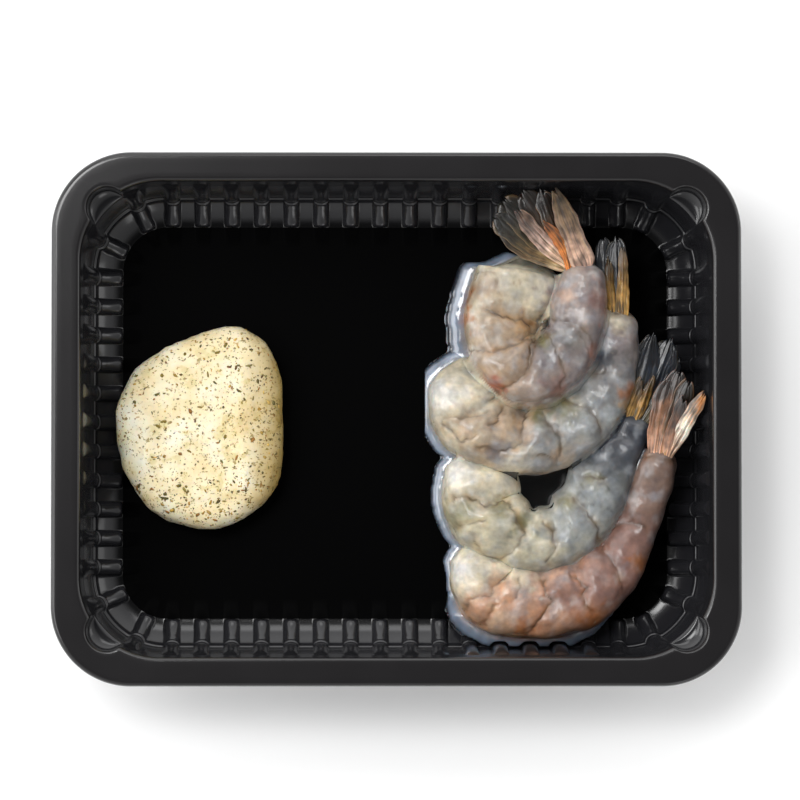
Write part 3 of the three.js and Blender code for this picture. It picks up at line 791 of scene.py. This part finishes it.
# %% Tint a body
def tint_body(name, points, share, seam, warm):
    """The colour at each point of a prawn."""
    base, touches = TOUCHES[name]
    stops = np.array([linear(*TINTS[tint]) for tint in base])
    colours = np.column_stack(
        [np.interp(share, [0.1, 0.4, 0.65, 0.9], channel) for channel in stops.T]
    )
    wavy = 1 + ruffle(points, 2.6, 0.8, 51) + ruffle(points, 1.0, 0.3, 53)
    for tint, x, y, radius in touches:
        away = np.linalg.norm(points[:, :2] - (x, y), axis=1) * wavy
        colours = blend(colours, linear(*TINTS[tint]), 0.85 * np.exp(-((away / radius) ** 3)))
    milky = 0.3 * smoothstep(-0.05, 0.75, ruffle(points, 3.8, 1, 27) + 0.3 * ruffle(points, 1.3, 1, 28))
    colours = blend(colours, linear(196, 202, 206), milky)
    clouds = 1 + ruffle(points, 4.5, 0.34, 21) + ruffle(points, 1.3, 0.2, 25)
    colours *= clouds[:, None]
    colours *= 1 - np.outer(warm * (0.6 + ruffle(points, 3.0, 0.8, 61)), (0.2, 0.38, 0.58))
    return 0.86 * blend(colours, linear(74, 52, 34), 0.78 * seam)


# %% [markdown]
# ### Flesh
# Raw prawn flesh is pale and cloudy: light goes a few millimetres in and comes out softer and
# warmer, which is what subsurface scattering does. Faint veils of grey lie in it, the muscle shows
# as a fine grain, and a wet skin on top gives sharp highlights, which the coat stands for.

# %% Material of the flesh
flesh, shader = new_material(
    "prawn_flesh", Roughness=0.4, Subsurface_Weight=0.6, Subsurface_Scale=0.0025,
    Subsurface_Radius=(1, 0.6, 0.4), Coat_Weight=0.4, Coat_Roughness=0.14, Specular_IOR_Level=0.4,
)
veil = ramp(flesh, grain(flesh, 260, 5), (0.35, (0.82, 0.83, 0.88)), (0.64, (1.1, 1.07, 1.02)))
fine = ramp(flesh, grain(flesh, 1100, 3), (0.3, (0.92,) * 3), (0.7, (1.05,) * 3))
wire_colour(flesh, shader, own_tint(flesh), veil, fine)
bump(flesh, shader, grain(flesh, 500, 3), 0.05, 0.5)

# %% Make the bodies
heap = []
for name in PRAWNS:
    bm, *marks = draw_body(name)
    colours = tint_body(name, places(bm.verts), *(mark[: len(bm.verts)] for mark in marks))
    bm.faces.ensure_lookup_table()
    heap.append((BVHTree.FromBMesh(bm), colours[[face.verts[0].index for face in bm.faces]]))
    make_piece(f"{name}_body", bm, [flesh], "prawn_flesh", name, colours=colours)

# %% [markdown]
# ## The juices
# Raw prawns weep a cloudy juice. One part of it clings to them and fills the valleys between them,
# and the rest stands round the heap as a low, bluish puddle with a rounded, glassy edge. It could
# be a liquid simulation, but both shapes are simple. The heap is read from above as a field of
# heights. The clinging film is that field with its valleys swollen, and the puddle is a cushion
# that falls away from the outline of the heap.

# %% Heights of the heap
STEP = 0.5
xs = np.arange(8, 84.4, STEP)
ys = np.arange(-64.3, 66, STEP)
top = np.full((len(ys), len(xs)), -50.0)
ground = np.zeros_like(top)
hue = np.zeros((len(ys), len(xs), 3))
for row, y in enumerate(ys):
    for column, x in enumerate(xs):
        above = Vector((x, y, 60))
        ground[row, column] = tray_tree.ray_cast(above, DOWN)[0].z
        for tree, colours in heap:
            hit, _, index, _ = tree.ray_cast(above, DOWN)
            if hit and hit.z > top[row, column]:
                top[row, column] = hit.z
                hue[row, column] = colours[index]
print("covered by prawns:", round(float((top > 0).mean()), 2))

# %% Swell the heights
# The film clings to flesh up to CLING away, and falls by up to SWELL there.
SWELL, CLING = 7.0, 2.0
# All round the heap, the puddle is at least this wide.
NARROWEST = 0.8
film = np.full_like(top, -50.0)
cushion = np.zeros_like(top)
# The puddle reaches furthest on the left and in front, and hardly anywhere else.
sides = np.interp(ys, [-44, -36, 5, 12], [0.8, 2.8, 3.1, 4.8])
leftward = smoothstep(40, 30, xs)[None, :] * sides[:, None]
frontward = smoothstep(-46, -54, ys)[:, None] * np.interp(xs, [50, 62], [4.8, 0.2])[None, :]
juice_tint = hue.copy()
# Each cell looks at its neighbours up to CELLS away.
CELLS = 12
wide = np.pad(top, CELLS, constant_values=-50)
wide_hue = np.pad(hue, ((CELLS, CELLS), (CELLS, CELLS), (0, 0)))
for down_rows in range(-CELLS, CELLS + 1):
    for right in range(-CELLS, CELLS + 1):
        away = math.hypot(down_rows, right) * STEP
        pull = leftward * max(0, right) + frontward * max(0, down_rows)
        reach = NARROWEST + pull * STEP / max(away, STEP)
        part = np.ix_(CELLS + down_rows + np.arange(len(ys)), CELLS + right + np.arange(len(xs)))
        near = wide[part]
        if away < CLING:
            film = np.maximum(film, near - SWELL * (1 - math.sqrt(1 - (away / CLING) ** 2)))
        fall = np.where(near > 0, np.clip(1 - (away / reach) ** 2, 0, 1), 0)
        closer = (fall > cushion) & (top < 0)
        cushion[closer] = fall[closer]
        juice_tint[closer] = wide_hue[part][closer]
cushion[top > 0] = 1
print("puddle:", int((cushion > 0).sum()), "cells")


# %% Fill the cracks
def blur(field, times):
    """Evens out a field of heights or colours."""
    for _ in range(times):
        for axis in (0, 1):
            field = (np.roll(field, 1, axis) + 2 * field + np.roll(field, -1, axis)) / 4
    return field


# Cracks between the prawns are full of juice, as is the fold where the uppermost one curls in. The
# wide gap between the two lower ones stays open.
gap = (abs(xs - 40) < 12)[None, :] & (abs(ys + 18) < 9)[:, None]
fold = (abs(xs - 40) < 6)[None, :] & (abs(ys - 26) < 6)[:, None]
crowded = blur((top > 0).astype(float), 10) > np.where(fold, 0.1, 0.56)
crack = (top < 0) & (film > 3) & ~gap & crowded
top[crack] = film[crack] - 0.9
# The juice in the fold is painted darker, as painted shade in the deep curl.
juice_tint[crack & fold] *= 0.3
cushion[crack] = 1
# The film thins out to nothing at the outline of the heap.
inside = 1 - blur((top < 0).astype(float), 3)
film = top + (blur(film, 1) - 0.8 - top) * smoothstep(0.55, 0.95, inside)
# The puddle is deeper in front, where it lies on the ledge, and shallow in the gap of the heap.
depth = np.interp(ys, [-54, -49], [8.6, 3.6])[:, None]
puddle = FLOOR + depth * np.sqrt(blur(cushion, 1))
puddle = np.where(gap, FLOOR + 0.6, puddle)
juice_tint[gap] = linear(28, 28, 28)
print("cracks filled:", int(crack.sum()), "cells")


# %% Cast the juice
def cast(heights, under, wet):
    """Casts juice between two fields of heights. Returns it with its points' rows and columns."""
    bm = bmesh.new()
    bmesh.ops.create_grid(bm, x_segments=len(xs) - 1, y_segments=len(ys) - 1, size=1)
    rows = np.array([round((v.co.y + 1) / 2 * (len(ys) - 1)) for v in bm.verts])
    columns = np.array([round((v.co.x + 1) / 2 * (len(xs) - 1)) for v in bm.verts])
    move_to(bm.verts, np.column_stack([xs[columns], ys[rows], heights[rows, columns]]))
    soaked = wet[rows, columns]
    dry = [face for face in bm.faces if not all(soaked[v.index] for v in face.verts)]
    bmesh.ops.delete(bm, geom=dry, context="FACES")
    lone = [edge for edge in bm.edges if not edge.link_faces]
    bmesh.ops.delete(bm, geom=lone, context="EDGES")
    border = [v for v in bm.verts if v.is_boundary]
    for _ in range(8):
        bmesh.ops.smooth_vert(bm, verts=border, factor=0.5, use_axis_x=True, use_axis_y=True)
    raised = bmesh.ops.extrude_face_region(bm, geom=bm.faces[:])["geom"]
    upper = {v for v in raised if isinstance(v, bmesh.types.BMVert)}
    spots = places(bm.verts)
    columns = np.round((spots[:, 0] - xs[0]) / STEP).astype(int)
    rows = np.round((spots[:, 1] - ys[0]) / STEP).astype(int)
    for vertex, row, column in zip(bm.verts, rows, columns):
        if vertex not in upper:
            vertex.co.z = min(under[row, column], vertex.co.z - 0.02)
    bmesh.ops.recalc_face_normals(bm, faces=bm.faces)
    print("juice points:", len(bm.verts))
    return bm, rows, columns


clinging, rows, columns = cast(film, top - 1.5, top > 0)
clinging_colours = juice_tint[rows, columns]
standing, rows, columns = cast(
    np.maximum(puddle, ground + 0.05),
    ground + 0.03,
    (cushion > 0) & (puddle > ground + 0.1) | gap,
)

# %% Tint the puddle
# It is stained by the flesh close to it, then pale, then deep, with a broken painted glint at its
# edge: a painted highlight on the rounded rim.
spots = places(standing.verts)
far = np.where(gap, 0, np.sqrt(1 - cushion))[rows, columns] * (1 + ruffle(spots, 3.0, 0.06, 33))
standing_colours = juice_tint[rows, columns]
murk = np.where(gap[rows, columns], 0, 0.5 + 0.5 * smoothstep(0, 0.4, far))
pale = linear(124, 136, 154) * (1 + ruffle(spots, 3.0, 0.4, 31))[:, None]
standing_colours = blend(standing_colours, pale, murk)
standing_colours = blend(standing_colours, linear(30, 33, 40), smoothstep(0.5, 0.8, far))
# A painted highlight: a broken glint near the rim.
painted_glint = smoothstep(0.84, 0.9, far) * smoothstep(-0.3, 0.2, ruffle(spots, 4.0, 1, 35))
standing_colours = blend(standing_colours, linear(176, 182, 190), painted_glint)

# %% [markdown]
# ### Juice
# The juice is cloudy, so it scatters light like thin milk, and its wet skin mirrors the lights.
# It could be clear, but a clear film this thin only looks grey. So it is opaque, takes its tint
# from its points, and has a sharp coat. Fine ripples break the mirror images up.

# %% Material of the juice
juice, shader = new_material(
    "prawn_juice", Roughness=0.14, Subsurface_Weight=0.3, Subsurface_Scale=0.0015,
    Coat_Weight=0.9, Coat_Roughness=0.04,
)
wire_colour(juice, shader, own_tint(juice))
bump(juice, shader, grain(juice, 350, 2), 0.1, 0.5)
make_piece("juice_on_prawns", clinging, [juice], "prawn_flesh", colours=clinging_colours)
make_piece("juice_puddle", standing, [juice], "prawn_flesh", colours=standing_colours)

# %% [markdown]
# ## The tail fans
# The fan is thin shell: a stiff spike in the middle, and flat blades that spread beside it and lie
# over each other. They are frayed at the tip and streaked along their length. A blade starts as a
# small grid. Its rows run from the root to the tip, its columns are drawn in to the leaf's
# outline, and ribs are raised along it. Solidify then gives it the thickness of a fingernail.

# %% Blades of the fans
# A blade is its root, its tip, its half width, where it is widest, how far it bows, and its tint.
FANS = {
    "prawn_top": [
        ((46.5, 43.6), (29.6, 52.6, 24.6), 2.8, 0.8, 1.2, "smoke"),
        ((46.4, 44.4), (27.9, 56.6, 25.6), 3.6, 0.84, 1, "olive"),
        ((46.4, 45), (30.4, 60.4, 26.2), 3.8, 0.84, 0.6, "olive"),
        ((46.9, 45.2), (35.6, 62.6, 26.8), 3.8, 0.84, 0.4, "umber"),
        ((47.4, 45.2), (40.6, 62.8, 27.4), 3, 0.8, 0.2, "umber"),
        ((46.3, 44.9), (34, 57.6, 28), 2.4, 0.66, 0.8, "blush"),
        ((46.8, 43.6), (41, 54.4, 28.8), 1.7, 0.55, -1.7, "band"),
        ((51.6, 44.9), (44.1, 62.9, 30.4), 3.3, 0.12, 0, "spike"),
    ],
    "prawn_right": [
        ((59.6, 31.3), (57.8, 50.8, 19.4), 3, 0.66, 0.3, "night"),
        ((62, 31.3), (61.4, 50.2, 20.2), 3, 0.66, 0.3, "night"),
        ((60.3, 31.2), (59.3, 44.4, 21.4), 1.3, 0.5, 0.2, "gold"),
        ((63.2, 30.6), (63.2, 47.2, 23.4), 1.7, 0.12, 0, "gold"),
    ],
    "prawn_middle": [
        ((65.4, 1.2), (71.6, 23.3, 17.4), 4, 0.66, -0.6, "night"),
        ((67.6, 1.6), (76.4, 22, 16.8), 4.2, 0.66, -0.8, "night"),
        ((69.2, 0.8), (79, 16.6, 16.2), 2.8, 0.6, -0.4, "night"),
        ((64.6, 1.6), (68.4, 11.5, 19), 1.6, 0.5, 0, "gold"),
        ((67.4, 1.2), (71.8, 12.6, 18.4), 1.4, 0.5, 0, "gold"),
    ],
    "prawn_front": [
        ((72.2, -8.8), (75.4, 10.6, 24), 3, 0.66, 0.3, "rust"),
        ((73.6, -8.8), (78.4, 13, 25), 3.2, 0.7, 0.2, "rust"),
        ((75.1, -8.8), (81, 10.4, 25.8), 2.8, 0.66, 0.1, "umber"),
        ((75.8, -8.8), (79.6, 5.4, 27.2), 2.2, 0.5, 0.1, "rust"),
        ((76.9, -8.4), (84.9, 6.8, 30), 2.1, 0.55, 0.4, "bone"),
    ],
}

# %% Tints of the shell
# A blade's tint is its colour at the root, half way and at the tip.
SHELL = dict(
    smoke=((180, 156, 124), (96, 78, 52), (46, 38, 30)),
    olive=((168, 136, 92), (58, 50, 34), (26, 23, 18)),
    umber=((160, 118, 76), (66, 50, 36), (28, 22, 18)),
    blush=((190, 158, 130), (176, 150, 138), (84, 66, 56)),
    band=((172, 102, 42), (166, 98, 40), (120, 72, 36)),
    spike=((180, 148, 130), (126, 104, 84), (82, 66, 46)),
    night=((96, 88, 70), (32, 37, 46), (13, 16, 22)),
    gold=((156, 122, 66), (134, 102, 52), (70, 54, 34)),
    rust=((180, 138, 114), (118, 82, 58), (42, 35, 33)),
    bone=((182, 146, 120), (214, 204, 190), (164, 106, 50)),
)

# The roots start this far inside the body, so that no gap shows.
SUNK = 3.5
print(sum(len(blades) for blades in FANS.values()), "blades")


# %% Draw a blade
def draw_blade(bm, root, base_z, tip, half, widest, bow, tint):
    """Adds one blade, and returns the colours of its points."""
    start = np.array([*root, base_z])
    start -= SUNK * unit(np.array(tip) - start)
    made = bmesh.ops.create_grid(bm, x_segments=34, y_segments=70, size=1)["verts"]
    grid = places(made)
    side, run = grid[:, 0], (grid[:, 1] + 1) / 2
    lengthways = np.array(tip) - start
    heading = unit(lengthways)
    across = unit(np.cross((0, 0, 1), heading))
    lift = np.cross(heading, across)
    rise = np.clip(run / widest, 0, 1)
    fall = np.clip((run - widest) / (1 - widest), 0, 1)
    seed = tip[0] + tip[1]
    width = half * (0.4 + 0.6 * np.sin(rise * np.pi / 2)) * np.sqrt(1 - 0.93 * fall**3)
    width *= 1 + 0.07 * np.sin(run * 11 + seed) + 0.06 * np.sin(run * 31 + 2 * seed) * run
    # Streaks and teeth come from noise that is stretched along the blade.
    drawn = np.column_stack([side * half, run * 1.6, np.full(len(run), seed)])
    lines = ruffle(drawn, 0.55, 1.6) + ruffle(drawn, 0.22, 1.0, 4)
    drawn[:, 1] = 0
    teeth = ruffle(drawn, 0.9, 2.2, 8) + ruffle(drawn, 0.3, 0.7, 12)
    ridge = 0.25 * bell(side, 0.16) * (1 - 0.5 * run) - 0.35 * side**2
    ridge += 0.09 * lines + 0.5 * np.sin(run * 8 + seed) * side * run
    frayed = teeth * smoothstep(0.6, 1, run)
    aside = side * width + bow * 4 * run * (1 - run)
    points = start + np.outer(run, lengthways) + np.outer(aside, across)
    points += np.outer(ridge, lift) + np.outer(frayed, heading)
    move_to(made, points)
    root_tint, middle, end = (linear(*colour) for colour in SHELL[tint])
    colours = blend(root_tint, middle, smoothstep(0.2, 0.6, run + 0.2 * lines))
    colours = blend(colours, end, smoothstep(0.5, 0.95, run + 0.15 * lines))
    colours *= (1 + 0.8 * lines + ruffle(points, 2.2, 0.9, 41))[:, None].clip(0.25, 2.2)
    return blend(colours, root_tint * 0.8, smoothstep(0.84, 0.98, np.abs(side)) * 0.3)


# %% Material of the shell
shell, shader = new_material(
    "tail_shell", Roughness=0.36, Subsurface_Weight=0.2, Subsurface_Scale=0.0008,
    Coat_Weight=0.5, Coat_Roughness=0.12,
)
veins = ramp(shell, grain(shell, 700, 5), (0.35, (0.78, 0.76, 0.74)), (0.62, (1.12, 1.1, 1.08)))
wire_colour(shell, shader, own_tint(shell), veins)
bump(shell, shader, grain(shell, 1600, 3), 0.12, 0.6)

# %% Make the fans
for name, blades in FANS.items():
    bm, colours = bmesh.new(), []
    tail = PRAWNS[name][-1]
    for order, (root, *blade) in enumerate(blades):
        base_z = tail[2] + 0.45 * tail[3] + 0.35 * (order - len(blades) / 2)
        colours.append(draw_blade(bm, root, base_z, *blade))
    bmesh.ops.recalc_face_normals(bm, faces=bm.faces)
    fan = make_piece(f"{name}_fan", bm, [shell], "prawn_flesh", colours=np.vstack(colours))
    leaf = fan.modifiers.new("thickness", "SOLIDIFY")
    leaf.thickness = 0.3 * MM
    leaf.offset = 0

# %% [markdown]
# ## Light and floor
# The tray stood on plain white under large soft lights, the strongest of them at the left and
# behind. Six lamps stand for those. The room round them is painted on the world: bright low down
# and toward the back left, and dark straight above, so that the flat floor mirrors black and the
# ribs catch thin bright lines.

# %% Floor
bm = bmesh.new()
bmesh.ops.create_grid(bm, x_segments=1, y_segments=1, size=3)
white, _ = new_material("white_floor", Base_Color=(0.95, 0.95, 0.95, 1), Roughness=0.9)
add_mesh("floor", bm, white)

# %% Lamps
# A lamp is its name, its place, its width and height, and its power. Each one faces the tray.
for name, place, size, power in (
    ("overhead", (-0.4, 0.36, 1.4), (0.4, 0.4), 6),
    ("left", (-0.85, 0.05, 1.15), (0.9, 0.5), 5.5),
    ("back", (0.05, 0.85, 1.15), (0.9, 0.4), 3),
    ("low_left", (-1.2, 0.15, 0.45), (0.6, 0.4), 2.5),
    ("front", (0.5, -1.1, 0.6), (0.6, 0.4), 1.5),
    ("right", (1.2, 0.2, 0.5), (0.5, 0.4), 1),
):
    light = bpy.data.lights.new(name, "AREA")
    light.shape = "RECTANGLE"
    light.size, light.size_y = size
    light.energy = power
    lamp = add_object(name, light)
    lamp.location = place
    lamp.rotation_euler = (-Vector(place)).to_track_quat("-Z", "Y").to_euler()
print("lamps:", len(bpy.data.lights))

# %% Room
BRIGHT_SIDE = (-0.6, 0.8, 0)
world = bpy.data.worlds.new("studio")
world.use_nodes = True
background = world.node_tree.nodes["Background"]
heading = add_node(world, "ShaderNodeTexCoord").outputs["Generated"]
height = add_node(world, "ShaderNodeSeparateXYZ", {"Vector": heading}).outputs["Z"]
levels = ((0.15, 0.72), (0.5, 0.6), (0.8, 0.36), (0.93, 0.03))
fade = ramp(world, height, *((position, (level,) * 3) for position, level in levels))
toward = add_node(world, "ShaderNodeVectorMath", {0: heading}, operation="DOT_PRODUCT")
toward.inputs[1].default_value = BRIGHT_SIDE
wires = {"Value": toward.outputs["Value"]}
strength = add_node(world, "ShaderNodeMapRange", wires, From_Min=-1, To_Min=0.9, To_Max=3.1)
world.node_tree.links.new(strength.outputs[0], background.inputs["Strength"])
world.node_tree.links.new(fade, background.inputs["Color"])
bpy.context.scene.world = world
bpy.context.scene.view_settings.view_transform = "Standard"
